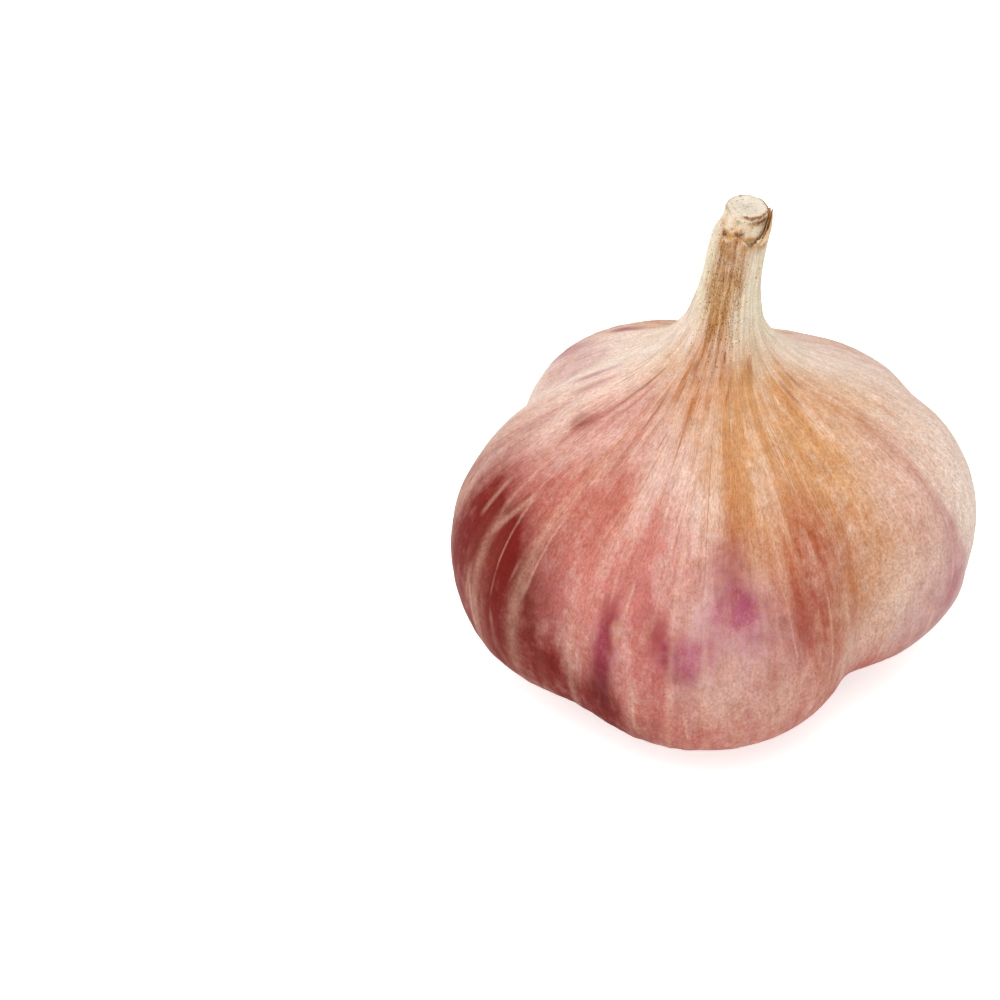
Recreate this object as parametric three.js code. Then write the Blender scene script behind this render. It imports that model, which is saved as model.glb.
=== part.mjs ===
// A hardneck garlic bulb standing upright on its root plate. Millimetres, +Z up.
// Five cloves lie in one ring under a taut papery wrapper, which is drawn up into the neck.
// The neck sheathes the cut stub of the flower stalk, with two torn leaf tips beside it.
import * as THREE from 'three';

// ---- driving dimensions -------------------------------------------------------------------
const BULB = {
  // meridian of the wrapper from the root plate out over the belly and up the neck: radius, height
  meridian: [[8.2, 0.7], [16.4, 2], [24.8, 5.8], [27.2, 15.5], [24.5, 23.8], [17.4, 30], [8.6, 35.3],
    [4.7, 39.9], [3.4, 44], [3.0, 47.5], [3.05, 51.8]],
  stepsPerSpan: 4,        // rows between two meridian points
  sides: 72,              // columns round the bulb
  groovesStart: 8.2,      // radius at which the grooves between the cloves start, under the bulb
  groovesFull: 16,        // radius at which they reach their full depth
  undersideTop: 5.8,      // height of the turn from the underside to the belly
  groovesFade: 26.5,      // height above which the wrapper starts to bridge the grooves
  groovesEnd: 42,         // height at which it is round again
  skinTautness: 0.055,    // how broadly the wrapper bridges a groove
  cloveOffset: 0.47,      // distance of a clove's middle from the axis, as a part of the radius
  spreadOfHeight: 3.0,    // how locally a clove lifts the wrapper over it
};
// One entry per clove: direction in degrees, size, and height against the mean
const CLOVES = [
  { at: -94, size: 1.15, height: 0.85 },
  { at: 210, size: 1.11, height: 1.10 },
  { at: 125, size: 0.95, height: 0.98 },
  { at: 42, size: 1.02, height: 0.88 },
  { at: -11, size: 1.08, height: 1.15 },
];
const LEAN = { from: 10, to: 55, sideways: 2.9, back: 1.5, power: 2.8 }; // bend of the neck
const SOCKET = { radius: 2.75, floor: 44 };         // hollow in the neck that the stalk stands in
const PLATE = { radius: 7.4, thickness: 2.6, bevel: 0.5, roots: 22, ripple: 0.35, sidesPerRoot: 4 };
const GAP = 0.3;                                   // clearance between pieces that touch
const STALK = { foot: 44.6, top: 55.3, footRadius: 1.75, radius: 2.3, waist: 51.6, shoulder: 52.8, sides: 32,
  chamfer: 0.2, slant: 0.1 };
// Torn tips of the leaf sheaths: directions in degrees, heights, inner radii below and above the flare,
// and how far across the blade its point stands
const TIPS = {
  sheath_tip_inner: {
    from: -62, to: 30, foot: 47.4, top: 54.8, footRadius: 2.13, topRadius: 2.62, point: 0.72,
  },
  sheath_tip_outer: {
    from: -38, to: 64, foot: 52.1, top: 55.4, footRadius: 3.05, topRadius: 3.3, point: 0.55,
  },
};
const FLARE = { from: 51.8, to: 52.8 };            // heights between which a tip widens
const TORN_SHOULDER = 0.35;                        // height of a tip's low ends, as a part of its point's
const TIP_THICKNESS = 0.3;
const TIP_GRID = { across: 14, up: 8 };

// ---- shape helpers ------------------------------------------------------------------------
const smooth = (low, high, x) => THREE.MathUtils.smoothstep(x, low, high);
const radians = THREE.MathUtils.degToRad;

// Offset of the plant's axis at a height: upright in the bulb, bending in the neck
function axisAt(z) {
  const t = Math.max(z - LEAN.from, 0) / (LEAN.to - LEAN.from);
  const bend = t ** LEAN.power;
  return { x: LEAN.sideways * bend, y: LEAN.back * bend };
}

// Outline of the wrapper in plan, as a part of the mean radius: a blend of the cloves' circles
function lobes(angle) {
  const far = BULB.cloveOffset;
  const near = 1 - far;
  let sum = 0;
  for (const clove of CLOVES) {
    const off = angle - radians(clove.at);
    const reach = far * Math.cos(off) + Math.sqrt(near ** 2 - (far * Math.sin(off)) ** 2);
    sum += Math.exp((reach * clove.size) / BULB.skinTautness);
  }
  return BULB.skinTautness * Math.log(sum);
}

// How far the nearest cloves lift the wrapper, against the mean height
function lift(angle) {
  let weights = 0;
  let total = 0;
  for (const clove of CLOVES) {
    const weight = Math.exp(BULB.spreadOfHeight * (Math.cos(angle - radians(clove.at)) - 1));
    weights += weight;
    total += weight * clove.height;
  }
  return total / weights;
}

// A point of the wrapper for a meridian point and a direction
function wrapperPoint(radius, height, angle) {
  const fade = 1 - smooth(BULB.groovesFade, BULB.groovesEnd, height);
  const underneath = height < BULB.undersideTop ? smooth(BULB.groovesStart, BULB.groovesFull, radius) : 1;
  const r = radius * (1 + fade * underneath * (lobes(angle) - 1));
  const z = height * (1 + fade * (lift(angle) - 1));
  return aroundAxis(r, angle, z);
}

// A closed body from rings of points, bottom to top, with a point closing each end
function bodyFromRings(first, rings, last) {
  const sides = rings[0].length;
  const points = [first, ...rings.flat(), last];
  const index = [];
  const at = (ring, side) => 1 + ring * sides + (side % sides);
  for (let side = 0; side < sides; side += 1) {
    index.push(0, at(0, side + 1), at(0, side));
    for (let ring = 0; ring + 1 < rings.length; ring += 1) {
      index.push(at(ring, side), at(ring, side + 1), at(ring + 1, side + 1));
      index.push(at(ring, side), at(ring + 1, side + 1), at(ring + 1, side));
    }
    index.push(points.length - 1, at(rings.length - 1, side), at(rings.length - 1, side + 1));
  }
  const geometry = new THREE.BufferGeometry().setFromPoints(points);
  geometry.setIndex(index);
  geometry.computeVertexNormals();
  return geometry;
}

function ring(sides, pointAt) {
  return Array.from({ length: sides }, (_, side) => pointAt((side / sides) * 2 * Math.PI));
}

// A point at a radius and direction from the plant's axis
function aroundAxis(radius, angle, z) {
  const axis = axisAt(z);
  return new THREE.Vector3(radius * Math.cos(angle) + axis.x, radius * Math.sin(angle) + axis.y, z);
}

// A round section about the plant's axis
function axisRing(sides, radius, z) {
  return ring(sides, (angle) => aroundAxis(radius, angle, z));
}

function onAxis(z) {
  return aroundAxis(0, 0, z);
}

// ---- pieces -------------------------------------------------------------------------------
// The cloves in their wrapper, with a recess for the root plate and a socket for the stalk
function bulbShape() {
  const { sides, stepsPerSpan, meridian } = BULB;
  const curve = new THREE.SplineCurve(meridian.map(([r, z]) => new THREE.Vector2(r, z)));
  const recess = PLATE.radius + PLATE.ripple + GAP;
  const ceiling = PLATE.thickness + GAP;
  const rings = [[recess / 2, ceiling], [recess, ceiling], [recess, meridian[0][1]]].map(
    ([radius, z]) => axisRing(sides, radius, z),
  );
  const steps = stepsPerSpan * (meridian.length - 1);
  for (let step = 0; step <= steps; step += 1) {
    const { x: radius, y: height } = curve.getPoint(step / steps);
    rings.push(ring(sides, (angle) => wrapperPoint(radius, height, angle)));
  }
  const rim = meridian[meridian.length - 1][1];
  const depths = [rim, (rim + SOCKET.floor) / 2, SOCKET.floor];
  depths.forEach((z) => rings.push(axisRing(sides, SOCKET.radius, z)));
  return bodyFromRings(new THREE.Vector3(0, 0, ceiling), rings, onAxis(SOCKET.floor));
}

// The cut stub of the flower stalk, with a slightly slanting face
function stalkShape() {
  const { foot, top, footRadius, radius, waist, shoulder, sides, chamfer, slant } = STALK;
  const axis = axisAt(top);
  const tilt = (point) => {
    point.z -= slant * (point.x - axis.x + point.y - axis.y);
    return point;
  };
  const rings = [
    axisRing(sides, footRadius, foot),
    axisRing(sides, footRadius, waist),
    axisRing(sides, radius, shoulder),
    axisRing(sides, radius, top - chamfer).map(tilt),
    axisRing(sides, radius - chamfer, top).map(tilt),
  ];
  return bodyFromRings(onAxis(foot), rings, onAxis(top));
}

// A torn tip of a leaf sheath: a thin curved blade that rises to one point
function tipShape({ from, to, foot, top, footRadius, topRadius, point }) {
  const { across, up } = TIP_GRID;
  const points = [];
  const index = [];
  const row = across + 1;
  const layer = row * (up + 1);
  for (const thickness of [0, TIP_THICKNESS]) {
    for (let j = 0; j <= up; j += 1) {
      for (let i = 0; i <= across; i += 1) {
        const side = i / across;
        const slope = side < point ? side / point : (1 - side) / (1 - point);
        const z = foot + (top - foot) * (j / up) * (TORN_SHOULDER + (1 - TORN_SHOULDER) * slope);
        const angle = radians(from + (to - from) * side);
        const radius = footRadius + (topRadius - footRadius) * smooth(FLARE.from, FLARE.to, z) + thickness;
        points.push(aroundAxis(radius, angle, z));
      }
    }
  }
  const quad = (a, b, c, d) => index.push(a, b, c, a, c, d);
  for (let j = 0; j < up; j += 1) {
    for (let i = 0; i < across; i += 1) {
      const a = j * row + i;
      quad(a, a + row, a + row + 1, a + 1);
      quad(layer + a, layer + a + 1, layer + a + row + 1, layer + a + row);
    }
    const left = j * row;
    const right = left + across;
    quad(left, layer + left, layer + left + row, left + row);
    quad(right, right + row, layer + right + row, layer + right);
  }
  for (let i = 0; i < across; i += 1) {
    const upper = up * row + i;
    quad(i, i + 1, layer + i + 1, layer + i);
    quad(upper, layer + upper, layer + upper + 1, upper + 1);
  }
  const geometry = new THREE.BufferGeometry().setFromPoints(points);
  geometry.setIndex(index);
  geometry.computeVertexNormals();
  return geometry;
}

// The woody plate that the roots grew from, trimmed flat, its edge rippled by the root stubs
function plateShape() {
  const { radius, thickness, bevel, roots, ripple, sidesPerRoot } = PLATE;
  const sides = roots * sidesPerRoot;
  const edge = (r, z) => ring(sides, (a) => {
    const reach = r + ripple * Math.cos(roots * a);
    return new THREE.Vector3(reach * Math.cos(a), reach * Math.sin(a), z);
  });
  const rings = [edge(radius - bevel, 0), edge(radius, bevel), edge(radius, thickness - bevel)];
  rings.push(edge(radius - bevel, thickness));
  return bodyFromRings(new THREE.Vector3(0, 0, 0), rings, new THREE.Vector3(0, 0, thickness));
}

// ---- assembly -----------------------------------------------------------------------------
function piece(name, geometry, color, roughness) {
  const mesh = new THREE.Mesh(geometry, new THREE.MeshStandardMaterial({ color, roughness, metalness: 0 }));
  mesh.name = name;
  return mesh;
}

const plant = new THREE.Group();
plant.add(piece('bulb', bulbShape(), 0xd9a48c, 0.55));
plant.add(piece('root_plate', plateShape(), 0xb59c78, 0.9));
plant.add(piece('stalk_stub', stalkShape(), 0xe8dcc2, 0.75));
for (const [name, tip] of Object.entries(TIPS)) plant.add(piece(name, tipShape(tip), 0xdcc08a, 0.7));

// The origin is the middle of the whole plant's box, on the ground
const box = new THREE.Box3().setFromObject(plant);
const middle = box.getCenter(new THREE.Vector3());
plant.position.set(-middle.x, -middle.y, -box.min.z);

const garlic = new THREE.Group();
garlic.add(plant);

export default garlic;
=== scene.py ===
import math

import bpy
import numpy as np
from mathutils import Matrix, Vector


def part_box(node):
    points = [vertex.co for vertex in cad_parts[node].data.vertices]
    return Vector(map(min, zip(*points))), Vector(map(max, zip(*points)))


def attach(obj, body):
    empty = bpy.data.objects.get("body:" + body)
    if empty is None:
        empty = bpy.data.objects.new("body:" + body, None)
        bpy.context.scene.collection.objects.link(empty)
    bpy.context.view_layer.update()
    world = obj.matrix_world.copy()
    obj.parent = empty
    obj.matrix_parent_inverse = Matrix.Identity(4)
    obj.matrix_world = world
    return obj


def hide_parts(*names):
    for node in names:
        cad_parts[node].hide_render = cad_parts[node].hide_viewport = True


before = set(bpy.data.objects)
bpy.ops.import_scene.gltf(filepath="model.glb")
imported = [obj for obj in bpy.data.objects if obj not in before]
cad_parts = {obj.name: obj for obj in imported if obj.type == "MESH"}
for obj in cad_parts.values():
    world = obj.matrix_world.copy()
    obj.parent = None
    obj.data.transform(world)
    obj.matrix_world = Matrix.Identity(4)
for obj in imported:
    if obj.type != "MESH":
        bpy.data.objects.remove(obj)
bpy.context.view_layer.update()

mm = 0.001
fullTurn = 2 * math.pi

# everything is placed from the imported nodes: the plant stands on the middle of its root plate
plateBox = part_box("root_plate")
plantFoot = ((plateBox[0] + plateBox[1]) / 2).xy / mm
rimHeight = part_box("bulb")[1].z / mm
stubBottom, stubTop = (corner.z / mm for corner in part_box("stalk_stub"))


# maths helpers, lengths in millimetres and angles in radians

def smoothStep(low, high, x):
    # 0 at low and before it, 1 at high and past it, a soft rise between
    t = np.clip((x - low) / (high - low), 0, 1)
    return t * t * (3 - 2 * t)


def degreesFrom(angle, azimuth):
    # how far round the plant an angle is from an azimuth, from -180 to 180 degrees
    return (np.degrees(angle) - azimuth + 180) % 360 - 180


def curveThrough(points, t):
    # smooth curve through a list of points, t from 0 to 1
    points = np.array(points, float)
    place = np.asarray(t) * (len(points) - 1)
    i = np.clip(place.astype(int), 0, len(points) - 2)
    u = (place - i)[:, None]
    before, here, there, after = (points[np.clip(i + k, 0, len(points) - 1)] for k in (-1, 0, 1, 2))
    out, into = (there - before) / 2, (after - here) / 2
    cubic = 2 * here - 2 * there + out + into
    square = 3 * there - 3 * here - 2 * out - into
    return cubic * u ** 3 + square * u ** 2 + out * u + here


def evenSteps(points, count):
    # the values of t that space the points of a curve evenly, and the curve's length
    t = np.linspace(0, 1, 2000)
    pieces = np.linalg.norm(np.diff(curveThrough(points, t), axis=0), axis=1)
    length = np.concatenate([[0], np.cumsum(pieces)])
    return np.interp(np.linspace(0, length[-1], count), length, t), length[-1]


def hills(across, along, cells, rows, seed, octaves=1):
    # soft random hills from -1 to 1; across runs from 0 to 1 and joins up with itself
    total, most = 0, 0
    for octave in range(octaves):
        grid = np.random.default_rng(seed + 101 * octave).uniform(-1, 1, (rows + 3, cells))
        x, y = (across % 1) * cells, np.clip(along, 0, 1) * rows
        i, j = np.floor(x).astype(int), np.floor(y).astype(int)
        u, v = smoothStep(0, 1, x - i), smoothStep(0, 1, y - j)
        low = grid[j, i % cells] * (1 - u) + grid[j, (i + 1) % cells] * u
        high = grid[j + 1, i % cells] * (1 - u) + grid[j + 1, (i + 1) % cells] * u
        share = 0.5 ** octave
        total, most = total + (low * (1 - v) + high * v) * share, most + share
        cells, rows = cells * 2, rows * 2
    return total / most


def normalsOf(grid):
    # the outward direction at each point of a grid of rings
    across = np.roll(grid, -1, 1) - np.roll(grid, 1, 1)
    normal = np.cross(across, np.gradient(grid, axis=0))
    return normal / np.linalg.norm(normal, axis=-1, keepdims=True)


def stainMap(stains, angle, up):
    # each stain: azimuth and height of its middle, half width in degrees, half length, strength
    total = np.zeros(np.broadcast(angle, up).shape)
    for azimuth, height, wide, long, strength in stains:
        far = (degreesFrom(angle, azimuth) / wide) ** 2 + ((up - height) / long) ** 2
        total += strength * np.exp(-far ** 1.5)
    return np.clip(total, 0, 1)


def makePiece(name, rings, layers, material):
    # rings is rows x columns x 3 in millimetres, each row a closed loop, and both ends are capped.
    # layers are values that the points keep for the material
    rows, cols = rings.shape[:2]
    count = rows * cols
    index = np.arange(count).reshape(rows, cols)
    after = np.roll(index, -1, 1)
    quads = np.stack([index[:-1], after[:-1], after[1:], index[1:]], -1).reshape(-1, 4)
    start = np.stack([after[0], index[0], np.full(cols, count)], -1)
    end = np.stack([index[-1], after[-1], np.full(cols, count + 1)], -1)

    def withEnds(value):
        value = value.reshape(rows, cols, -1)
        return np.concatenate([value.reshape(count, -1), value[:1].mean(1), value[-1:].mean(1)])

    mesh = bpy.data.meshes.new(name)
    mesh.from_pydata((withEnds(rings) * mm).tolist(), [], quads.tolist() + start.tolist() + end.tolist())
    mesh.polygons.foreach_set("use_smooth", np.ones(len(mesh.polygons), bool))
    for key, value in layers.items():
        shape = rings.shape if np.ndim(value) == 3 else (rows, cols)
        value = withEnds(np.array(np.broadcast_to(value, shape)))
        kind, field = ("FLOAT_VECTOR", "vector") if value.shape[1] == 3 else ("FLOAT", "value")
        layer = mesh.attributes.new(key, kind, "POINT")
        layer.data.foreach_set(field, value.astype(np.float32).ravel())
    mesh.materials.append(material)
    mesh.update()
    piece = bpy.data.objects.new(name, mesh)
    bpy.context.scene.collection.objects.link(piece)
    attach(piece, "root")
    return piece


# node helpers

def setInput(tree, socket, value):
    # a socket takes another node's output or a plain value
    if isinstance(value, bpy.types.NodeSocket):
        tree.links.new(value, socket)
    elif value is not None:
        socket.default_value = value


def calc(tree, operation, *values, clamp=False):
    node = tree.nodes.new("ShaderNodeMath")
    node.operation, node.use_clamp = operation, clamp
    for socket, value in zip(node.inputs, values):
        setInput(tree, socket, value)
    return node.outputs[0]


def remap(tree, value, low, high, toLow=0.0, toHigh=1.0):
    node = tree.nodes.new("ShaderNodeMapRange")
    node.interpolation_type = "SMOOTHSTEP"
    settings = {"Value": value, "From Min": low, "From Max": high, "To Min": toLow, "To Max": toHigh}
    for key, setting in settings.items():
        setInput(tree, node.inputs[key], setting)
    return node.outputs["Result"]


def stretch(tree, vector, scale):
    node = tree.nodes.new("ShaderNodeVectorMath")
    node.operation = "MULTIPLY"
    setInput(tree, node.inputs[0], vector)
    setInput(tree, node.inputs[1], scale)
    return node.outputs[0]


def joinVector(tree, x, y, z):
    node = tree.nodes.new("ShaderNodeCombineXYZ")
    for socket, value in zip(node.inputs, (x, y, z)):
        setInput(tree, socket, value)
    return node.outputs[0]


def noise(tree, vector, scale=1.0, detail=2.0, roughness=0.5):
    node = tree.nodes.new("ShaderNodeTexNoise")
    settings = {"Vector": vector, "Scale": scale, "Detail": detail, "Roughness": roughness}
    for key, setting in settings.items():
        setInput(tree, node.inputs[key], setting)
    return node.outputs[0]


def blend(tree, amount, base, top, way="MIX"):
    node = tree.nodes.new("ShaderNodeMix")
    node.data_type, node.blend_type = "RGBA", way
    setInput(tree, node.inputs[0], amount)
    setInput(tree, node.inputs[6], base if isinstance(base, bpy.types.NodeSocket) else (*base, 1))
    setInput(tree, node.inputs[7], top if isinstance(top, bpy.types.NodeSocket) else (*top, 1))
    return node.outputs[2]


def layerOf(tree, name):
    # a value that makePiece kept on the points
    node = tree.nodes.new("ShaderNodeAttribute")
    node.attribute_name = name
    return node.outputs["Vector" if name == "place" else "Fac"]


def millimetres(tree):
    # the point's own place, in millimetres
    return stretch(tree, tree.nodes.new("ShaderNodeTexCoord").outputs["Object"], (1 / mm,) * 3)


def makeGroup(name, inputs, outputs, build):
    tree = bpy.data.node_groups.new(name, "ShaderNodeTree")
    for label, kind, value in inputs:
        socket = tree.interface.new_socket(name=label, in_out="INPUT", socket_type=kind)
        socket.default_value = value
    for label, kind in outputs:
        tree.interface.new_socket(name=label, in_out="OUTPUT", socket_type=kind)
    entry, leave = tree.nodes.new("NodeGroupInput"), tree.nodes.new("NodeGroupOutput")
    for label, value in build(tree, entry.outputs).items():
        tree.links.new(value, leave.inputs[label])
    return tree


def useGroup(tree, group, **settings):
    node = tree.nodes.new("ShaderNodeGroup")
    node.node_tree = group
    for key, value in settings.items():
        setInput(tree, node.inputs[key], value)
    return node.outputs


def newMaterial(name):
    material = bpy.data.materials.new(name)
    material.use_nodes = True
    return material, material.node_tree, material.node_tree.nodes["Principled BSDF"]


def addBump(tree, shader, height, distance):
    node = tree.nodes.new("ShaderNodeBump")
    node.inputs["Distance"].default_value = distance * mm
    tree.links.new(height, node.inputs["Height"])
    tree.links.new(node.outputs[0], shader.inputs["Normal"])


# effects that several materials share

floatInput, vectorInput, colourInput = "NodeSocketFloat", "NodeSocketVector", "NodeSocketColor"


def fibresInside(tree, given):
    # fibres run up the plant, packed closely round it and drawn out along it
    def strands(density, shortness, detail, roughness, shift=0.0):
        thick = calc(tree, "MULTIPLY", given["Strands"], density)
        along = calc(tree, "DIVIDE", shortness, given["Length"])
        drawn = stretch(tree, given["Place"], joinVector(tree, thick, thick, along))
        moved = tree.nodes.new("ShaderNodeVectorMath")
        tree.links.new(drawn, moved.inputs[0])
        moved.inputs[1].default_value = (shift, shift, shift)
        return noise(tree, moved.outputs[0], 1, detail, roughness)

    def lines(density, width, shift):
        # thin lines where long strands cross their middle value, broken off here and there
        ridge = calc(tree, "ABSOLUTE", calc(tree, "SUBTRACT", strands(density, 0.1, 1, 0.4, shift), 0.5))
        patchy = remap(tree, strands(0.2, 0.5, 1, 0.5, shift + 5), 0.44, 0.6)
        return calc(tree, "MULTIPLY", remap(tree, ridge, width, 0.0), patchy)

    return {"Fine": strands(1.0, 1.4, 3, 0.6), "Broad": strands(0.2, 0.35, 3, 0.6, 3.0),
            "Dashes": strands(2.3, 9.0, 2, 0.6, 8.0),
            "Veins": lines(0.16, 0.04, 0.0), "Lines": lines(0.3, 0.03, 20.0)}


fibres = makeGroup("plantFibres",
                   [("Place", vectorInput, (0, 0, 0)), ("Strands", floatInput, 40.0),
                    ("Length", floatInput, 6.0)],
                   [(label, floatInput) for label in ("Fine", "Broad", "Dashes", "Veins", "Lines")],
                   fibresInside)


def brokenStainInside(tree, given):
    # a stain's soft mask, torn up by the fibres it soaked into
    swing = calc(tree, "MULTIPLY", calc(tree, "SUBTRACT", given["Breaker"], 0.5), given["Break"])
    return {"Mask": calc(tree, "MULTIPLY", given["Mask"], calc(tree, "ADD", swing, 1), clamp=True)}


brokenStain = makeGroup("brokenStain",
                        [("Mask", floatInput, 0.0), ("Breaker", floatInput, 0.5),
                         ("Break", floatInput, 2.0)],
                        [("Mask", floatInput)], brokenStainInside)


def paperGrainInside(tree, given):
    # fine grain and larger clouds that lighten and darken a colour
    fine = noise(tree, given["Place"], calc(tree, "DIVIDE", 1, given["Grain Size"]), 3, 0.65)
    cloud = noise(tree, given["Place"], calc(tree, "DIVIDE", 0.09, given["Grain Size"]), 2, 0.5)
    both = calc(tree, "ADD", fine, calc(tree, "MULTIPLY", cloud, 0.6))
    shade = calc(tree, "MULTIPLY_ADD", calc(tree, "SUBTRACT", both, 0.8), given["Amount"], 1)
    grey = joinVector(tree, shade, shade, shade)
    return {"Color": blend(tree, 1.0, given["Color"], grey, "MULTIPLY"), "Grain": fine}


paperGrain = makeGroup("paperGrain",
                       [("Color", colourInput, (1, 1, 1, 1)), ("Place", vectorInput, (0, 0, 0)),
                        ("Grain Size", floatInput, 0.4), ("Amount", floatInput, 0.3)],
                       [("Color", colourInput), ("Grain", floatInput)], paperGrainInside)


def grained(tree, colour, place, size, amount):
    return useGroup(tree, paperGrain, Color=colour, Place=place, **{"Grain Size": size, "Amount": amount})


def drySpecksInside(tree, given):
    # small dark flecks of dried soil, some places left empty
    cells = tree.nodes.new("ShaderNodeTexVoronoi")
    cells.inputs["Scale"].default_value = 1
    spacing = [calc(tree, "DIVIDE", part, given["Spacing"]) for part in (1, 1, 0.65)]
    setInput(tree, cells.inputs["Vector"], stretch(tree, given["Place"], joinVector(tree, *spacing)))
    chance = tree.nodes.new("ShaderNodeSeparateColor")
    tree.links.new(cells.outputs["Color"], chance.inputs[0])
    spot = remap(tree, cells.outputs["Distance"], 0.5, 0.25)
    kept = calc(tree, "LESS_THAN", chance.outputs[0], given["Density"])
    depth = calc(tree, "MULTIPLY_ADD", chance.outputs[1], 0.6, 0.4)
    return {"Mask": calc(tree, "MULTIPLY", calc(tree, "MULTIPLY", spot, kept), depth)}


drySpecks = makeGroup("drySpecks",
                      [("Place", vectorInput, (0, 0, 0)), ("Spacing", floatInput, 0.6),
                       ("Density", floatInput, 0.5)],
                      [("Mask", floatInput)], drySpecksInside)
print("shared effects ready")


# the plant's own lines, shared by all its pieces
plant = {
    # radius and height, from the base to the rim
    "meridian": [(8.2, 0.7), (16.4, 2), (24.8, 5.8), (27.2, 15.5), (24.5, 23.8), (17.4, 30), (8.6, 35.3),
                 (4.7, 39.9), (3.4, 44), (3.0, 47.5), (3.05, 51.8)],
    # azimuth, size and height against the mean
    "cloves": [(-94, 1.15, 0.85), (210, 1.11, 1.10), (125, 0.95, 0.98), (42, 1.02, 0.88),
               (-11, 1.08, 1.15)],
    "cloveOffset": 0.47,             # a clove's middle, as a part of the radius
    "skinTautness": 0.055,           # how broadly the skin bridges a groove
    "liftSpread": 3.0,               # how locally a clove lifts the skin over it
    "grooveHeights": (26.5, 42),     # the grooves fade out between these heights
    "grooveRadii": (8.2, 16),        # under the bulb they fade in between these radii
    "undersideTop": 5.8,             # height of the turn from the underside to the belly
    "lean": (2.9, 1.5), "leanHeights": (10, 55), "leanPower": 2.8,   # bend of the neck
}


def axisAt(z):
    # middle of the plant at a height: upright in the bulb, bending in the neck
    low, high = plant["leanHeights"]
    bend = (np.maximum(z - low, 0) / (high - low)) ** plant["leanPower"]
    return plantFoot[0] + plant["lean"][0] * bend, plantFoot[1] + plant["lean"][1] * bend


def aroundAxis(radius, angle, z):
    x, y = axisAt(z)
    return np.stack(np.broadcast_arrays(radius * np.cos(angle) + x, radius * np.sin(angle) + y, z), -1)


def lobes(angle):
    # outline from above, as a part of the mean radius: a blend of the cloves' circles
    far, near, total = plant["cloveOffset"], 1 - plant["cloveOffset"], 0
    for azimuth, size, _ in plant["cloves"]:
        off = angle - math.radians(azimuth)
        reach = far * np.cos(off) + np.sqrt(near ** 2 - (far * np.sin(off)) ** 2)
        total = total + np.exp(reach * size / plant["skinTautness"])
    return plant["skinTautness"] * np.log(total)


def lift(angle):
    # how far the nearest cloves raise the skin, against the mean height
    weights, total = 0, 0
    for azimuth, _, height in plant["cloves"]:
        weight = np.exp(plant["liftSpread"] * (np.cos(angle - math.radians(azimuth)) - 1))
        weights, total = weights + weight, total + weight * height
    return total / weights


def wrapperPoints(angle, up):
    line = curveThrough(plant["meridian"], up)
    radius, height = line[:, :1], line[:, 1:]
    fade = 1 - smoothStep(*plant["grooveHeights"], height)
    under = np.where(height < plant["undersideTop"], smoothStep(*plant["grooveRadii"], radius), 1)
    r = radius * (1 + fade * under * (lobes(angle)[None] - 1))
    z = height * (1 + fade * (lift(angle)[None] - 1))
    return aroundAxis(r, angle[None], z)


def placeOf(angle, along, shape):
    # where a point is round the plant and how far up it: the fibres follow this
    parts = np.broadcast_arrays(np.cos(angle), np.sin(angle), along)
    return np.stack([np.broadcast_to(part, shape) for part in parts], -1)


# wrapper: the papery skin over the cloves, drawn up into the neck
wrapper = {
    "columns": 640, "rows": 296,
    # relief in millimetres; where it starts or ends is given as 0 at the base to 1 at the rim
    "ribs": 84, "ribHeight": 0.08, "ribWidth": (0.7, 1.9), "ribStart": (0.02, 0.12),   # width in degrees
    "dents": 0.2, "dentStart": (0.0, 0.06), "neckFade": (0.6, 0.72), "crinkle": 0.04,
    "flutes": (13, 21, 34), "fluteDepth": 0.13, "fluteStart": (0.52, 0.7),
    # edge of the outermost leaf, azimuth and height; its widths are in degrees
    "foldLine": [(-15, 0.2), (-17, 0.26), (-22, 0.33), (-26, 0.4), (-26, 0.45), (-25, 0.52)],
    "foldStep": 0.22, "foldWidth": 1.6, "foldTail": 9,
    "foldStart": (0.16, 0.24), "foldEnd": (0.42, 0.56),
    "underLeaf": (3, 20, 40), "underLeafPaler": 0.7,
    # the torn rim: azimuth and rise
    "rimShape": [(-180, 1.5), (-160, 1.3), (-140, 0.9), (-122, 0.8), (-105, 1.3), (-88, 0.9), (-72, 0.4),
                 (-50, 0.5), (0, 0.4), (90, 0.6), (140, 1.3), (180, 1.5)],
    "rimJag": 0.2, "jagDepth": 4, "rimClosing": 0.3,
    "rimTuck": 0.27, "tuckDepth": 3.5, "tuckSide": 185,        # drawn in on one side
    "wall": 0.3, "socketRadius": 2.5, "socketFloor": 46,
    "recessRadius": 8.05, "recessCeiling": 2.9,
    # the paper
    "strands": 46, "strandLength": 3, "grainSize": 0.15, "grain": 0.65, "speckSpacing": 0.18,
    "stainRipple": 0.03, "veinShare": 0.26, "softVeinShare": 0.3, "fibreShare": 0.36,
    "streakShare": 0.75, "dashContrast": 1.3, "gloss": 0.12, "bumpDepth": 0.09,
}
wrapperColours = {
    "paper": (0.86, 0.71, 0.60), "ivory": (0.91, 0.83, 0.645), "vein": (0.84, 0.58, 0.41),
    "inside": (0.36, 0.18, 0.05),
    # these soak into the paper, so each one tints what is under it
    "ochre": (0.72, 0.44, 0.23), "pink": (0.665, 0.285, 0.275), "tan": (0.64, 0.39, 0.17),
    # the dark red-brown is the skin's maroon, and in places also a painted shadow low on the left side
    "purple": (0.50, 0.15, 0.31), "brownAndShade": (0.33, 0.05, 0.035), "specks": (0.32, 0.18, 0.08),
    "fibre": (0.74, 0.53, 0.38), "streak": (0.80, 0.62, 0.42),
}
# the fibres that tear each stain up, and how much
stainBreaks = {"ochre": ("Broad", 2.4), "pink": ("Broad", 2.0), "tan": ("Fine", 3.6),
               "purple": ("Dashes", 1.7), "brownAndShade": ("Broad", 1.7)}
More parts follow.
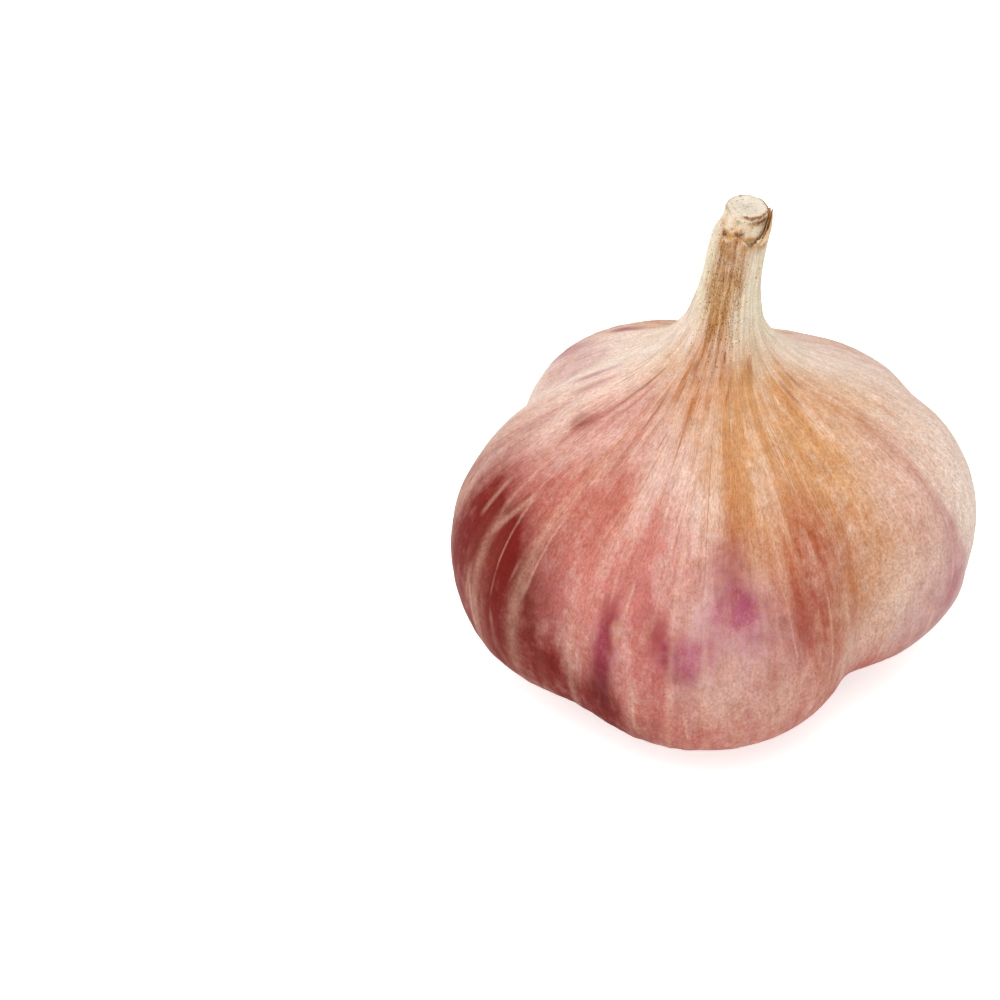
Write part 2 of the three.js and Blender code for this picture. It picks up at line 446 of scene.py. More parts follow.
# azimuth, height from 0 at the base to 1 at the rim, half width in degrees, half length, strength
wrapperStains = {
    "ivory": [(-40, 0.86, 60, 0.2, 1), (40, 0.86, 60, 0.2, 1), (130, 0.86, 50, 0.2, 0.8),
              (-140, 0.86, 45, 0.12, 0.8), (-175, 0.92, 40, 0.12, 0.8)],
    "ochre": [(-63, 0.58, 32, 0.15, 0.7), (-52, 0.42, 18, 0.1, 0.55), (-105, 0.67, 32, 0.06, 0.55),
              (-60, 0.65, 12, 0.03, 0.2), (-130, 0.65, 24, 0.07, 0.45), (-133, 0.47, 16, 0.07, 0.35),
              (-76, 0.5, 14, 0.12, 0.35), (-55, 0.31, 24, 0.1, 0.4), (-95, 0.28, 14, 0.06, 0.25),
              (-25, 0.55, 18, 0.16, 0.35), (-122, 0.74, 8, 0.05, 0.3), (5, 0.5, 22, 0.12, 0.1),
              (-155, 0.65, 14, 0.05, 0.35), (-85, 0.6, 55, 0.045, 0.42), (-48, 0.55, 42, 0.07, 0.25),
              (-12, 0.5, 12, 0.09, 0.2), (-135, 0.78, 10, 0.06, 0.25), (100, 0.5, 30, 0.15, 0.5),
              (55, 0.45, 16, 0.15, 0.4), (120, 0.5, 12, 0.12, 0.35), (80, 0.66, 50, 0.08, 0.4)],
    "pink": [(-146, 0.37, 25, 0.12, 1), (-125, 0.36, 20, 0.14, 1), (-142, 0.5, 26, 0.08, 0.32),
             (-108, 0.27, 16, 0.09, 0.7), (-106, 0.41, 12, 0.1, 0.6), (-80, 0.4, 12, 0.1, 0.15),
             (-58, 0.37, 16, 0.1, 0.4), (-78, 0.32, 18, 0.07, 0.45), (-66, 0.43, 14, 0.065, 0.4),
             (-92, 0.49, 12, 0.035, 0.3), (-84, 0.23, 26, 0.06, 0.55), (-70, 0.46, 10, 0.09, 0.3),
             (-60, 0.28, 20, 0.06, 0.2), (-150, 0.58, 16, 0.05, 0.45), (-120, 0.53, 36, 0.05, 0.2),
             (-120, 0.59, 26, 0.06, 0.25), (-100, 0.5, 18, 0.05, 0.22), (-208, 0.46, 18, 0.07, 0.25),
             (-175, 0.47, 16, 0.05, 0.15), (-175, 0.5, 10, 0.1, 0.2), (-105, 0.66, 25, 0.04, 0.2),
             (-28, 0.4, 12, 0.12, 0.4), (-12, 0.43, 12, 0.07, 0.2), (4, 0.43, 16, 0.09, 0.25),
             (-45, 0.2, 20, 0.06, 0.5), (-90, 0.14, 60, 0.1, 0.6), (-30, 0.1, 50, 0.1, 0.5),
             (-160, 0.13, 50, 0.1, 0.6), (40, 0.33, 22, 0.14, 0.45), (75, 0.3, 25, 0.15, 0.6),
             (110, 0.32, 24, 0.15, 0.8), (132, 0.34, 12, 0.1, 0.5), (60, 0.52, 40, 0.08, 0.3),
             (100, 0.55, 30, 0.08, 0.3), (90, 0.14, 70, 0.1, 0.6), (-190, 0.3, 14, 0.09, 0.8)],
    "purple": [(-87, 0.435, 8, 0.05, 0.5), (-87, 0.43, 4, 0.026, 0.4), (-98, 0.375, 8, 0.03, 0.6),
               (-78, 0.39, 10, 0.05, 0.35), (-114.5, 0.325, 3, 0.07, 0.9), (-31, 0.26, 10, 0.07, 0.45),
               (-24, 0.33, 3.5, 0.12, 0.4), (-88, 0.49, 5, 0.03, 0.4), (-92, 0.38, 22, 0.09, 0.3),
               (-16, 0.27, 8, 0.06, 0.35), (-182, 0.55, 2.5, 0.03, 0.6), (-172, 0.55, 2, 0.03, 0.55),
               (-230, 0.54, 3, 0.025, 0.8), (-208, 0.47, 12, 0.07, 0.3), (-135, 0.33, 10, 0.07, 0.3),
               (-155, 0.49, 12, 0.04, 0.1), (60, 0.32, 6, 0.08, 0.5), (112, 0.38, 8, 0.07, 0.6),
               (138, 0.42, 5, 0.08, 0.5), (172, 0.38, 6, 0.07, 0.3)],
    # maroon streaks of the skin; the patches at azimuth -134 and -117, about a fifth of the way up, are
    # partly a painted shadow, and the two entries at height 0 make the underside darker towards the bottom
    "brownAndShade": [(-164, 0.35, 17, 0.12, 0.62), (-148, 0.33, 15, 0.11, 0.5), (-134, 0.22, 30, 0.075, 0.75),
              (-117, 0.225, 15, 0.055, 0.45), (-140, 0.3, 20, 0.08, 0.25), (-155, 0.55, 4, 0.014, 0.5),
              (-122, 0.66, 3, 0.014, 0.4), (-60, 0.66, 3, 0.014, 0.3), (-90, 0.7, 2, 0.012, 0.7),
              (-110, 0.0, 200, 0.06, 0.4), (70, 0.0, 200, 0.06, 0.4), (-38, 0.59, 1.2, 0.03, 0.5),
              (-30, 0.58, 1.2, 0.02, 0.5), (-151, 0.6, 1.2, 0.04, 0.4), (-125, 0.62, 1, 0.025, 0.5),
              (-113, 0.28, 4, 0.04, 0.5), (-140, 0.38, 10, 0.07, 0.35), (-152, 0.39, 8, 0.07, 0.5),
              (-136, 0.3, 7, 0.05, 0.4), (-62, 0.42, 8, 0.06, 0.12), (130, 0.24, 14, 0.06, 0.5),
              (90, 0.2, 12, 0.05, 0.4)],
    "tan": [(-80, 0.93, 15, 0.05, 0.4), (-112, 0.996, 44, 0.008, 1), (-60, 0.996, 30, 0.008, 0.9),
            (-114, 0.87, 17, 0.15, 0.9), (-138, 0.93, 16, 0.1, 0.5), (-92, 0.84, 11, 0.14, 0.5),
            (-98, 0.8, 9, 0.1, 0.3), (-77, 0.9, 5, 0.07, 0.3), (-75, 0.985, 70, 0.018, 0.7),
            (-146, 0.85, 13, 0.08, 0.35), (100, 0.9, 25, 0.12, 0.5), (40, 0.82, 8, 0.12, 0.4),
            (-103, 0.73, 10, 0.04, 0.2), (-118, 0.79, 9, 0.07, 0.6)],
    "specks": [(-112, 0.86, 30, 0.15, 1), (-143, 0.91, 16, 0.09, 0.8), (-85, 0.86, 14, 0.12, 0.8),
               (-38, 0.9, 8, 0.07, 0.35), (110, 0.86, 40, 0.14, 0.5)],
    "lines": [(-100, 0.63, 90, 0.13, 1), (-90, 0.45, 110, 0.14, 0.35), (80, 0.62, 100, 0.14, 0.7),
              (90, 0.4, 100, 0.16, 0.35), (-100, 0.86, 200, 0.15, 0.6)],
}


def ribLines(angle, up):
    # standing veins, each with its own width and height, wandering a little
    rng = np.random.default_rng(11)
    relief, colour = 0, 0
    for rib in range(wrapper["ribs"]):
        azimuth = 360 * (rib + rng.uniform(-0.45, 0.45)) / wrapper["ribs"]
        wide, strength = rng.uniform(*wrapper["ribWidth"]), rng.uniform(0.2, 1) ** 1.5
        wander = rng.uniform(0.4, 1.4) * np.sin(up * rng.uniform(4, 9) + rng.uniform(0, 6))
        fading = np.clip(0.6 + 0.7 * np.sin(up * rng.uniform(5, 14) + rng.uniform(0, 6)), 0, 1)
        line = strength * fading * np.exp(-(degreesFrom(angle, azimuth + wander) / wide) ** 2)
        relief, colour = relief + line, np.maximum(colour, line)
    return relief, colour


def foldPast(angle, up):
    # degrees past the edge of the outermost leaf, and how much the edge shows at that height
    azimuths, heights = np.array(wrapper["foldLine"]).T
    shown = smoothStep(*wrapper["foldStart"], up) * (1 - smoothStep(*wrapper["foldEnd"], up))
    return degreesFrom(angle, np.interp(up, heights, azimuths)), shown


def wrapperMaterial():
    material, tree, shader = newMaterial("wrapperSkin")
    colours = wrapperColours
    strands = useGroup(tree, fibres, Place=layerOf(tree, "place"), Strands=wrapper["strands"],
                       Length=wrapper["strandLength"])
    spread = millimetres(tree)
    blotch = noise(tree, spread, 0.8, 4, 0.65)
    colour = blend(tree, layerOf(tree, "ivory"), colours["paper"], colours["ivory"])
    for layer, (fibre, breaking) in stainBreaks.items():
        breaker = calc(tree, "MULTIPLY_ADD", strands[fibre], 0.65, calc(tree, "MULTIPLY", blotch, 0.35))
        stain = useGroup(tree, brokenStain, Mask=layerOf(tree, layer), Breaker=breaker, Break=breaking)
        colour = blend(tree, stain["Mask"], colour, colours[layer], "MULTIPLY")
    veins = calc(tree, "MAXIMUM", calc(tree, "MULTIPLY", layerOf(tree, "vein"), wrapper["veinShare"]),
                 calc(tree, "MULTIPLY", strands["Veins"], wrapper["softVeinShare"]))
    colour = blend(tree, veins, colour, colours["vein"])
    darker = calc(tree, "MULTIPLY", remap(tree, strands["Fine"], 0.42, 0.72), wrapper["fibreShare"])
    drawn = calc(tree, "MULTIPLY", strands["Lines"], layerOf(tree, "lines"))
    colour = blend(tree, calc(tree, "MAXIMUM", darker, drawn), colour, colours["fibre"], "MULTIPLY")
    # broad streaks, strongest among the specks and fainter among the fine lines
    where = calc(tree, "MULTIPLY_ADD", layerOf(tree, "lines"), 0.4, layerOf(tree, "specks"), clamp=True)
    streaks = calc(tree, "MULTIPLY", remap(tree, strands["Broad"], 0.48, 0.62), where)
    streaks = calc(tree, "MULTIPLY", streaks, wrapper["streakShare"])
    colour = blend(tree, streaks, colour, colours["streak"], "MULTIPLY")
    # short dashes lighten and darken the paper, warmer where it is darker
    dashes = calc(tree, "SUBTRACT", strands["Dashes"], 0.5)
    shade = calc(tree, "MULTIPLY_ADD", dashes, wrapper["dashContrast"], 1)
    warmer = joinVector(tree, calc(tree, "POWER", shade, 0.5), shade, calc(tree, "POWER", shade, 1.5))
    colour = blend(tree, 1.0, colour, warmer, "MULTIPLY")
    grain = grained(tree, colour, spread, wrapper["grainSize"], wrapper["grain"])
    patchy = remap(tree, strands["Broad"], 0.35, 0.6, 0.3, 1.1)
    patchy = calc(tree, "MULTIPLY", layerOf(tree, "specks"), patchy)
    flecks = useGroup(tree, drySpecks, Place=spread, Spacing=wrapper["speckSpacing"], Density=patchy)
    colour = blend(tree, flecks["Mask"], grain["Color"], colours["specks"], "MULTIPLY")
    colour = blend(tree, layerOf(tree, "inside"), colour, colours["inside"])
    tree.links.new(colour, shader.inputs["Base Color"])
    tree.links.new(remap(tree, grain["Grain"], 0.3, 0.7, 0.5, 0.66), shader.inputs["Roughness"])
    shader.inputs["Specular IOR Level"].default_value = wrapper["gloss"]
    height = calc(tree, "ADD", strands["Fine"], calc(tree, "MULTIPLY", strands["Dashes"], 0.5))
    addBump(tree, shader, height, wrapper["bumpDepth"])
    return material


def buildWrapper():
    angle = np.linspace(0, fullTurn, wrapper["columns"], endpoint=False)
    turn = angle[None] / fullTurn
    up, length = evenSteps(plant["meridian"], wrapper["rows"])
    grid = wrapperPoints(angle, up)
    tall = up[:, None]

    ribs, veins = ribLines(angle[None], tall)
    flutes = sum(np.cos(count * angle + 1.5 * hills(turn[0], 0, 9, 1, 40 + count))
                 for count in wrapper["flutes"])
    fluted = smoothStep(*wrapper["fluteStart"], tall)
    past, shown = foldPast(angle[None], tall)
    width = wrapper["foldWidth"]
    tail = np.exp(-np.maximum(-past, 0) / wrapper["foldTail"])
    fold = shown * (1 - smoothStep(-width, width, past)) * tail

    belly = smoothStep(*wrapper["dentStart"], tall) * (1 - smoothStep(*wrapper["neckFade"], tall))
    relief = wrapper["ribHeight"] * ribs * smoothStep(*wrapper["ribStart"], tall) * (1 - 0.6 * fluted)
    relief = relief + wrapper["dents"] * belly * hills(turn, tall, 14, 9, 3, octaves=2)
    relief = relief + wrapper["crinkle"] * hills(turn, tall, 150, 60, 5, octaves=2) * (1 - 0.5 * fluted)
    relief = relief + wrapper["fluteDepth"] * fluted * flutes / 2 + wrapper["foldStep"] * fold
    grid = grid + normalsOf(grid) * relief[..., None]

    # the rim was torn off by hand
    jag = wrapper["rimJag"] * (hills(turn, 0, 16, 1, 21) + 0.6 * hills(turn, 0, 60, 1, 22))
    rises = np.array(wrapper["rimShape"])
    jag = jag[0] + np.interp(degreesFrom(angle, 0), rises[:, 0], rises[:, 1])
    grid[..., 2] += jag * smoothStep(rimHeight - wrapper["jagDepth"], rimHeight, grid[..., 2])
    closing = wrapper["rimClosing"] * np.maximum(grid[..., 2] - rimHeight, 0)
    tuckedSide = smoothStep(-0.2, 1, np.cos(angle - math.radians(wrapper["tuckSide"])))
    nearRim = smoothStep(rimHeight - wrapper["tuckDepth"], rimHeight, grid[..., 2])
    closing = closing + wrapper["rimTuck"] * tuckedSide * nearRim
    grid[..., 0] -= closing * np.cos(angle)
    grid[..., 1] -= closing * np.sin(angle)

    def ringAt(radius, z):
        return aroundAxis(radius * np.ones_like(angle), angle, z * np.ones_like(angle))

    # the recess for the root plate underneath, the socket for the stub inside the rim
    deep, start = wrapper["recessCeiling"], plant["meridian"][0][1]
    inner, socket = wrapper["recessRadius"], wrapper["socketRadius"]
    below = [ringAt(inner / 2, deep)] + [ringAt(inner, z) for z in (deep, deep / 2, start + 0.15)]
    rim = grid[-1]
    outward = rim - np.stack([*axisAt(rim[:, 2]), rim[:, 2]], -1)
    reach = np.linalg.norm(outward, axis=1, keepdims=True)
    outward = outward / reach
    wall = wrapper["wall"]
    throat = np.minimum(reach[:, 0] - wall, socket + 0.2)
    above = [rim - outward * wall / 2 + (0, 0, 0.06), rim - outward * wall, ringAt(throat, rim[:, 2] - 1)]
    above += [ringAt(socket, wrapper["socketFloor"] + 2), ringAt(socket, wrapper["socketFloor"])]
    rings = np.concatenate([np.stack(below), grid, np.stack(above)])

    pad = (len(below), len(above))
    tallAll = np.pad(up, pad, mode="edge")[:, None]
    ripple = wrapper["stainRipple"] * hills(turn, tallAll, 30, 8, 60, octaves=2)
    layers = {name: stainMap(stains, angle[None], tallAll + ripple)
              for name, stains in wrapperStains.items()}
    past, shown = foldPast(angle[None], tallAll)
    near, fading, gone = wrapper["underLeaf"]
    underLeaf = shown * smoothStep(0, near, past) * (1 - smoothStep(fading, gone, past))
    for name in ("ochre", "pink", "purple"):
        layers[name] = layers[name] * (1 - wrapper["underLeafPaler"] * underLeaf)
    neck = smoothStep(*wrapper["neckFade"], tallAll)
    layers["vein"] = np.pad(veins, (pad, (0, 0)), mode="edge") * (1 - neck)
    inside = np.repeat([1.0, 0.0, 1.0], [pad[0], len(up) + 1, pad[1] - 1])
    layers["inside"] = inside[:, None] * np.ones_like(turn)
    layers["place"] = placeOf(angle[None], tallAll * length, rings.shape[:2])
    piece = makePiece("garlicWrapper", rings, layers, wrapperMaterial())
    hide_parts("bulb")


buildWrapper()
print("wrapper built")


# stalk stub: the woody flower stalk, cut off square
stalk = {
    "columns": 120, "sideRows": 22,
    "footRadius": 1.75, "radius": 2.28, "waist": 50.4, "shoulder": 51.2,
    "cutDrop": 0.33,                 # middle of the cut, below its highest edge
    "slant": 0.1, "chipping": 0.1, "ribDepth": 0.05, "hollow": 0.1, "faceUneven": 0.05,
    # it widens downwards, but not beside the sheath tips: azimuth and half width of that gap
    "skirt": 0.42, "skirtTop": 55, "skirtGap": (-25, 62),
    "face": (0.85, 0.76, 0.62), "side": (0.90, 0.79, 0.60),
    "wood": (0.62, 0.43, 0.23), "woodShare": 0.6, "scratch": (0.5, 0.36, 0.24), "scratchShare": 0.4,
    # these soak in, so each one tints what is under it
    "bark": (0.42, 0.20, 0.06), "mould": (0.27, 0.11, 0.035), "amber": (0.74, 0.43, 0.13),
    "strands": 9, "strandLength": 2.5, "grainSize": 0.25, "grain": 0.45,
    "stainBreak": 2.2, "fleckSpacing": 0.3, "flecks": 0.2, "fleckShare": 0.8,
    "roughness": 0.75, "bumpDepth": 0.15,
    # azimuth, height in millimetres, half width in degrees, half length, strength
    "mouldSpots": [(-142, 52.95, 11, 0.45, 1), (-103, 53.25, 15, 0.36, 1), (-50, 54.65, 36, 0.26, 1),
                   (-30, 54.2, 14, 0.6, 0.6), (80, 52.6, 30, 0.5, 0.7), (-110, 54.6, 8, 0.25, 0.5)],
    "amberSpots": [(-160, 53.6, 12, 0.8, 0.6), (-125, 53, 24, 0.5, 1), (-80, 52.8, 18, 0.3, 0.7),
                   (-100, 53.8, 30, 0.35, 0.5), (-50, 54.4, 40, 0.4, 0.7), (-55, 52.5, 34, 0.35, 0.9),
                   (-120, 54.4, 10, 0.5, 0.5), (-148, 54.3, 6, 0.6, 0.4), (120, 53, 30, 0.8, 0.6)],
}


def stalkMaterial():
    material, tree, shader = newMaterial("cutStalk")
    strands = useGroup(tree, fibres, Place=layerOf(tree, "place"), Strands=stalk["strands"],
                       Length=stalk["strandLength"])
    spread = millimetres(tree)
    face = layerOf(tree, "cut")
    pith = noise(tree, spread, 3.4, 4, 0.7)
    marks = noise(tree, stretch(tree, spread, (1.2, 5, 1)), 1.1, 2, 0.6)
    onFace = calc(tree, "MULTIPLY", face, stalk["scratchShare"])
    scratches = calc(tree, "MULTIPLY", remap(tree, marks, 0.56, 0.7), onFace)
    colour = blend(tree, face, stalk["side"], stalk["face"])
    woody = calc(tree, "MULTIPLY", remap(tree, pith, 0.5, 0.68), stalk["woodShare"])
    colour = blend(tree, woody, colour, stalk["wood"])
    colour = blend(tree, scratches, colour, stalk["scratch"])
    for layer in ("amber", "bark", "mould"):
        stain = useGroup(tree, brokenStain, Mask=layerOf(tree, layer), Breaker=pith,
                         Break=stalk["stainBreak"])
        colour = blend(tree, stain["Mask"], colour, stalk[layer], "MULTIPLY")
    flecks = useGroup(tree, drySpecks, Place=spread, Spacing=stalk["fleckSpacing"], Density=stalk["flecks"])
    flecks = calc(tree, "MULTIPLY", flecks["Mask"], stalk["fleckShare"])
    colour = blend(tree, flecks, colour, stalk["bark"], "MULTIPLY")
    grain = grained(tree, colour, spread, stalk["grainSize"], stalk["grain"])
    tree.links.new(grain["Color"], shader.inputs["Base Color"])
    shader.inputs["Roughness"].default_value = stalk["roughness"]
    addBump(tree, shader, calc(tree, "MULTIPLY_ADD", strands["Fine"], 0.8, pith), stalk["bumpDepth"])
    return material


def buildStalk():
    angle = np.linspace(0, fullTurn, stalk["columns"], endpoint=False)
    turn = angle / fullTurn
    top = stubTop - stalk["cutDrop"]
    chips = stalk["chipping"] * (hills(turn, 0, 11, 1, 71) + 0.5 * hills(turn, 0, 40, 1, 72))
    ribs = stalk["ribDepth"] * (hills(turn, 0, 26, 1, 73) + hills(turn, 0, 13, 1, 74))
    axisTop = axisAt(top)
    gapMiddle, gapWidth = stalk["skirtGap"]
    beside = smoothStep(gapWidth * 0.8, gapWidth * 1.2, np.abs(degreesFrom(angle, gapMiddle)))

    def slanted(ring, share, shift):
        # the cut slopes down to the back and to one side
        slope = stalk["slant"] * (ring[:, 0] - axisTop[0] + ring[:, 1] - axisTop[1])
        ring[:, 2] += share * (shift - slope)
        return ring

    sideHeights = np.linspace(stalk["shoulder"], top, stalk["sideRows"])
    sideHeights = np.concatenate([[stubBottom, stalk["waist"]], sideHeights])
    faceParts = np.array([0.965, 0.94, 0.9, 0.8, 0.7, 0.6, 0.5, 0.4, 0.3, 0.2, 0.1])
    rows = []
    for z in sideHeights:
        grown = smoothStep(stalk["waist"] - 0.1, stalk["shoulder"], z)
        radius = stalk["footRadius"] + (stalk["radius"] - stalk["footRadius"]) * grown
        skirt = stalk["skirt"] * (1 - smoothStep(stalk["waist"], stalk["skirtTop"], z))
        radius = radius + grown * (ribs + skirt * beside)
        share = max(0, (z - stalk["shoulder"]) / (top - stalk["shoulder"]))
        rows.append(slanted(aroundAxis(radius, angle, z * np.ones_like(angle)), share, chips))
    for part in faceParts:
        rough = stalk["faceUneven"] * hills(turn, part, 14, 7, 75, octaves=2) * min(1, part * 2)
        shift = 0.09 + chips * smoothStep(0.6, 1, part) - stalk["hollow"] * (1 - part ** 2) + rough
        outer = (stalk["radius"] + ribs) * part
        rows.append(slanted(aroundAxis(outer, angle, top * np.ones_like(angle)), 1, shift))
    rings = np.stack(rows)

    heights = np.concatenate([sideHeights, np.full(len(faceParts), top)])[:, None]
    cut = np.repeat([0.0, 1.0], [len(sideHeights), len(faceParts)])[:, None] * np.ones_like(turn)
    # the bark shows as a broken ring at the edge of the cut
    edge = [smoothStep(top - 0.35, top - 0.05, sideHeights), smoothStep(0.88, 0.95, faceParts)]
    edge = np.concatenate(edge)[:, None]
    broken = 0.8 + 0.7 * hills(turn, 0, 24, 1, 76)
    layers = {
        "cut": cut, "bark": np.clip(edge * broken[None], 0, 1),
        "mould": stainMap(stalk["mouldSpots"], angle[None], heights) * (1 - cut),
        "amber": stainMap(stalk["amberSpots"], angle[None], heights) * (1 - cut),
        "place": placeOf(angle[None], heights, rings.shape[:2]),
    }
    piece = makePiece("stalkStub", rings, layers, stalkMaterial())
    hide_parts("stalk_stub")


buildStalk()
print("stalk stub built")


# sheath tips: two torn blades of dry leaf sheath that stand beside the stub.
# from and to are azimuths; the radii are inside the torn rim, just above it and at the point
sheathTips = {
    "sheathTipInner": {"node": "sheath_tip_inner", "from": -66, "to": 34, "foot": 50, "top": 54.7,
                       "radii": (2.4, 2.5, 2.52), "peak": 0.7, "thick": 0.14, "curl": 0.06,
                       "amber": 0.3, "seed": 5},
    "sheathTipOuter": {"node": "sheath_tip_outer", "from": -58, "to": 66, "foot": 50.8, "top": 55.0,
                       "radii": (2.66, 2.92, 2.78), "peak": 0.5, "thick": 0.18, "curl": 0.08,
                       "amber": 0.8, "seed": 9},
}
sheath = {
    "across": 90, "tall": 26, "shoulder": 0.3, "ragged": 0.07,
    "swell": (51.5, 52.6), "closing": (53, 55),      # heights between which the radius changes
    "curlHeights": (51, 55), "thinning": 0.6,
    # the dark stain is a dark torn edge together with painted shade low on the blades' insides
    "cream": (0.90, 0.80, 0.62), "amber": (0.82, 0.50, 0.17), "dirtAndShade": (0.45, 0.19, 0.03),
    "strands": 9, "strandLength": 2.5, "stainBreak": 2.4, "grainSize": 0.25, "grain": 0.45,
    "roughness": 0.65, "bumpDepth": 0.15,
}


def sheathMaterial():
    material, tree, shader = newMaterial("drySheath")
    strands = useGroup(tree, fibres, Place=layerOf(tree, "place"), Strands=sheath["strands"],
                       Length=sheath["strandLength"])
    colour = sheath["cream"]
    # the second stain is a dark torn edge together with painted shade low on the insides
    for layer, fibre in (("amber", "Fine"), ("dirtAndShade", "Broad")):
        stain = useGroup(tree, brokenStain, Mask=layerOf(tree, layer), Breaker=strands[fibre],
                         Break=sheath["stainBreak"])
        colour = blend(tree, stain["Mask"], colour, sheath[layer], "MULTIPLY")
    grain = grained(tree, colour, millimetres(tree), sheath["grainSize"], sheath["grain"])
    tree.links.new(grain["Color"], shader.inputs["Base Color"])
    shader.inputs["Roughness"].default_value = sheath["roughness"]
    addBump(tree, shader, strands["Fine"], sheath["bumpDepth"])
    return material


def buildSheathTip(name, tip, material):
    side = np.linspace(0, 1, sheath["across"])
    angle = np.radians(tip["from"] + (tip["to"] - tip["from"]) * side)[:, None]
    climb = np.linspace(0, 1, sheath["tall"])
    loop = np.concatenate([climb, climb[::-1]])[None]      # up the outside of the blade, down the inside
    outside = np.repeat([1.0, 0.0], sheath["tall"])[None]
    slope = np.where(side < tip["peak"], side / tip["peak"], (1 - side) / (1 - tip["peak"]))
    reach, seed = side * 0.9, tip["seed"]
    torn = sheath["ragged"] * (hills(reach, 0, 22, 1, seed) + 0.7 * hills(reach, 0, 55, 1, seed + 1))
    full = np.clip(sheath["shoulder"] + (1 - sheath["shoulder"]) * slope + torn, 0.08, 1)[:, None]
    z = tip["foot"] + (tip["top"] - tip["foot"]) * full * loop
    foot, middle, point = tip["radii"]
    radius = foot + (middle - foot) * smoothStep(*sheath["swell"], z)
    radius = radius + (point - middle) * smoothStep(*sheath["closing"], z)
    curl = tip["curl"] * hills(reach[:, None], 0, 9, 1, seed + 2) * smoothStep(*sheath["curlHeights"], z)
    thick = tip["thick"] * (1 - sheath["thinning"] * smoothStep(0.7, 1, loop))
    rings = aroundAxis(radius + np.maximum(curl, -0.04) + thick * outside, angle, z)
    # the inside is browner; its torn top edge is darker, and low down the inside is darkened as painted
    # shade, in the narrow gap it faces
    browned = tip["amber"] * smoothStep(0.35, 1, loop) + 0.9 * (1 - outside)
    tornEdgeAndShade = (1 - outside) * (0.4 * smoothStep(0.9, 0.3, loop) + 0.7 * smoothStep(0.96, 1, loop))
    layers = {
        "amber": np.clip(browned, 0, 1) * np.ones_like(z),
        "dirtAndShade": np.clip(tornEdgeAndShade, 0, 1) * np.ones_like(z),
        "place": placeOf(angle, z, z.shape),
    }
    piece = makePiece(name, rings[::-1], {key: value[::-1] for key, value in layers.items()}, material)
    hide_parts(tip["node"])


sheathLook = sheathMaterial()
for tipName, tipSettings in sheathTips.items():
    buildSheathTip(tipName, tipSettings, sheathLook)
print("sheath tips built")


# root plate: the woody disc the roots grew from, trimmed flat
plate = {
    "columns": 176, "radius": 7.35, "thick": 2.6, "edge": 0.5,
    "ripple": 0.35, "roots": 22, "unevenness": 0.14,
    "wood": (0.40, 0.28, 0.17), "pale": (0.62, 0.50, 0.34), "dark": (0.13, 0.08, 0.045),
    "holeSpacing": 0.9, "holes": 0.6, "grainSize": 0.3, "grain": 0.7, "roughness": 0.9, "bumpDepth": 0.4,
}


def plateMaterial():
    material, tree, shader = newMaterial("rootWood")
    spread = millimetres(tree)
    clumps = noise(tree, spread, 0.9, 4, 0.65)
    holes = useGroup(tree, drySpecks, Place=spread, Spacing=plate["holeSpacing"], Density=plate["holes"])
    colour = blend(tree, remap(tree, clumps, 0.35, 0.7), plate["wood"], plate["pale"])
    colour = blend(tree, holes["Mask"], colour, plate["dark"])
    grain = grained(tree, colour, spread, plate["grainSize"], plate["grain"])
    tree.links.new(grain["Color"], shader.inputs["Base Color"])
    shader.inputs["Roughness"].default_value = plate["roughness"]
    addBump(tree, shader, clumps, plate["bumpDepth"])
    return material


def buildPlate():
    angle = np.linspace(0, fullTurn, plate["columns"], endpoint=False)
    turn = angle / fullTurn
    radius, thick, edge = plate["radius"], plate["thick"], plate["edge"]
    profile = [(radius * part, 0) for part in (0.1, 0.3, 0.5, 0.7, 0.85)]
    profile += [(radius - edge, 0.02), (radius - edge / 3, edge / 3)]
    profile += [(radius, z) for z in np.linspace(edge, thick - edge, 6)]
    profile += [(radius - edge / 2, thick - 0.1)]
    profile += [(radius * part, thick) for part in (0.9, 0.6, 0.2)]
    rows = []
    for r, z in profile:
        share = (r / radius) ** 3
        rough = plate["unevenness"] * hills(turn, z / thick, 60, 6, 90, octaves=2)
        grown = r + share * (plate["ripple"] * np.cos(plate["roots"] * angle) - 0.05 + rough)
        height = z + (np.abs(rough) * share if 0 < z < thick else 0 * angle)
        x, y = grown * np.cos(angle) + plantFoot[0], grown * np.sin(angle) + plantFoot[1]
        rows.append(np.stack([x, y, height], -1))
    piece = makePiece("rootPlate", np.stack(rows), {}, plateMaterial())
    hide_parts("root_plate")


buildPlate()
print("root plate built")


# light, floor and camera
studio = {
    "elevation": 40.6, "distance": 520, "lens": 170.3,
    "aim": (-22.94, 0, 16.1),        # from the plant's foot
    "skyLight": 0.72, "floor": 0.94, "floorGlow": 0.57, "floorSide": 12,
    # place from the plant's foot in millimetres, size in metres, watts
    "lamps": {"topLight": ((-60, -150, 750), 0.8, 2.9), "sideLight": ((-500, -350, 450), 0.7, 0.9)},
}


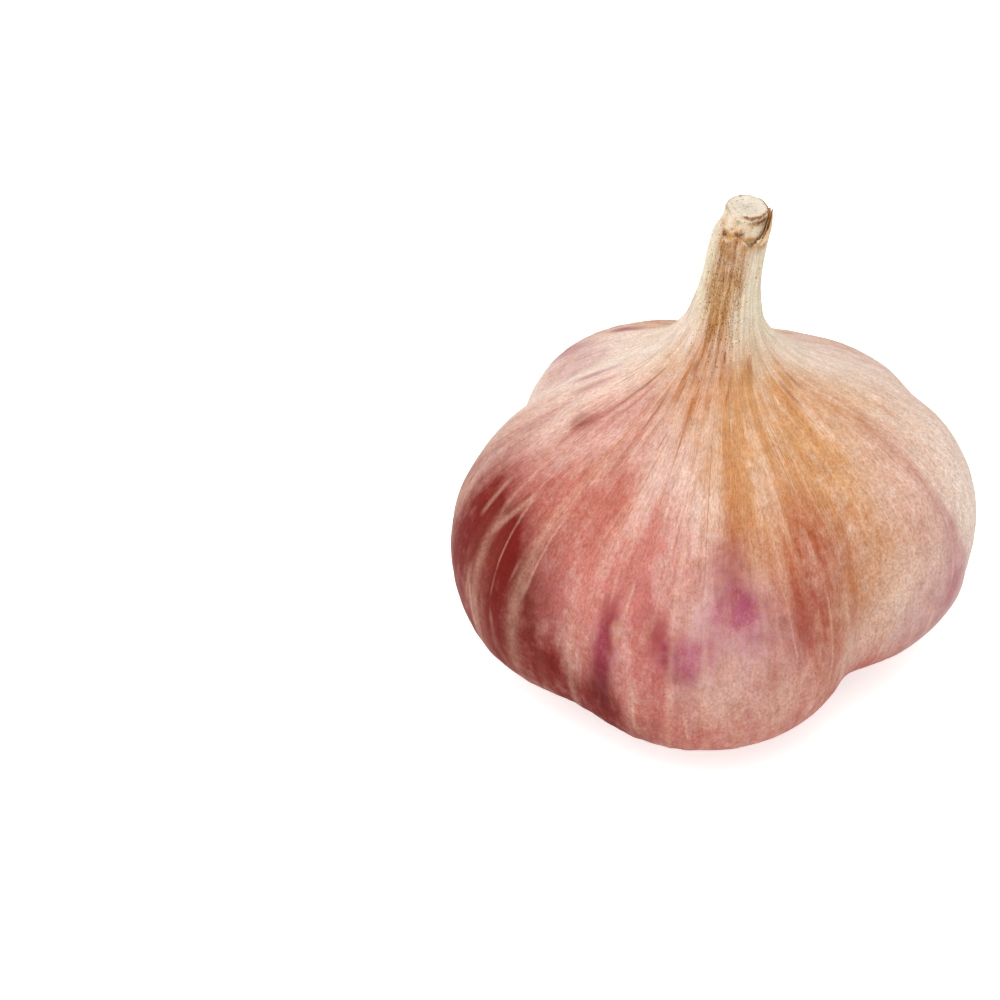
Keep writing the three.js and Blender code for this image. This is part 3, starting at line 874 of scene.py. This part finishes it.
def setStudio():
    material, tree, shader = newMaterial("paleFloor")
    shader.inputs["Base Color"].default_value = (*[studio["floor"]] * 3, 1)
    shader.inputs["Roughness"].default_value = 0.95
    shader.inputs["Specular IOR Level"].default_value = 0.1
    # it glows a little, as a light table does, only where it is seen directly
    seen = tree.nodes.new("ShaderNodeLightPath").outputs["Is Camera Ray"]
    shader.inputs["Emission Color"].default_value = (1, 1, 1, 1)
    tree.links.new(calc(tree, "MULTIPLY", seen, studio["floorGlow"]), shader.inputs["Emission Strength"])
    half = studio["floorSide"] / 2
    corners = [(-half, -half, 0), (half, -half, 0), (half, half, 0), (-half, half, 0)]
    mesh = bpy.data.meshes.new("floor")
    mesh.from_pydata(corners, [], [(0, 1, 2, 3)])
    mesh.materials.append(material)
    floor = bpy.data.objects.new("floor", mesh)
    bpy.context.scene.collection.objects.link(floor)

    world = bpy.data.worlds.new("studioSky")
    world.use_nodes = True
    sky = world.node_tree.nodes["Background"]
    sky.inputs["Color"].default_value = (1, 1, 1, 1)
    sky.inputs["Strength"].default_value = studio["skyLight"]
    bpy.context.scene.world = world

    foot = Vector((*plantFoot, 0)) * mm
    for name, (place, size, watts) in studio["lamps"].items():
        light = bpy.data.lights.new(name, "AREA")
        light.size, light.energy = size, watts
        lamp = bpy.data.objects.new(name, light)
        lamp.location = foot + Vector(place) * mm
        lamp.rotation_euler = (foot - lamp.location).to_track_quat("-Z", "Y").to_euler()
        bpy.context.scene.collection.objects.link(lamp)

    lens = bpy.data.cameras.new("camera")
    lens.lens, lens.sensor_width, lens.clip_start = studio["lens"], 36, 0.01
    camera = bpy.data.objects.new("camera", lens)
    tilt = math.radians(studio["elevation"])
    back = Vector((0, -math.cos(tilt), math.sin(tilt)))
    camera.location = foot + (Vector(studio["aim"]) + back * studio["distance"]) * mm
    camera.rotation_euler = (-back).to_track_quat("-Z", "Y").to_euler()
    bpy.context.scene.collection.objects.link(camera)
    bpy.context.scene.camera = camera
    bpy.context.scene.view_settings.view_transform = "Standard"


setStudio()
print("studio ready")
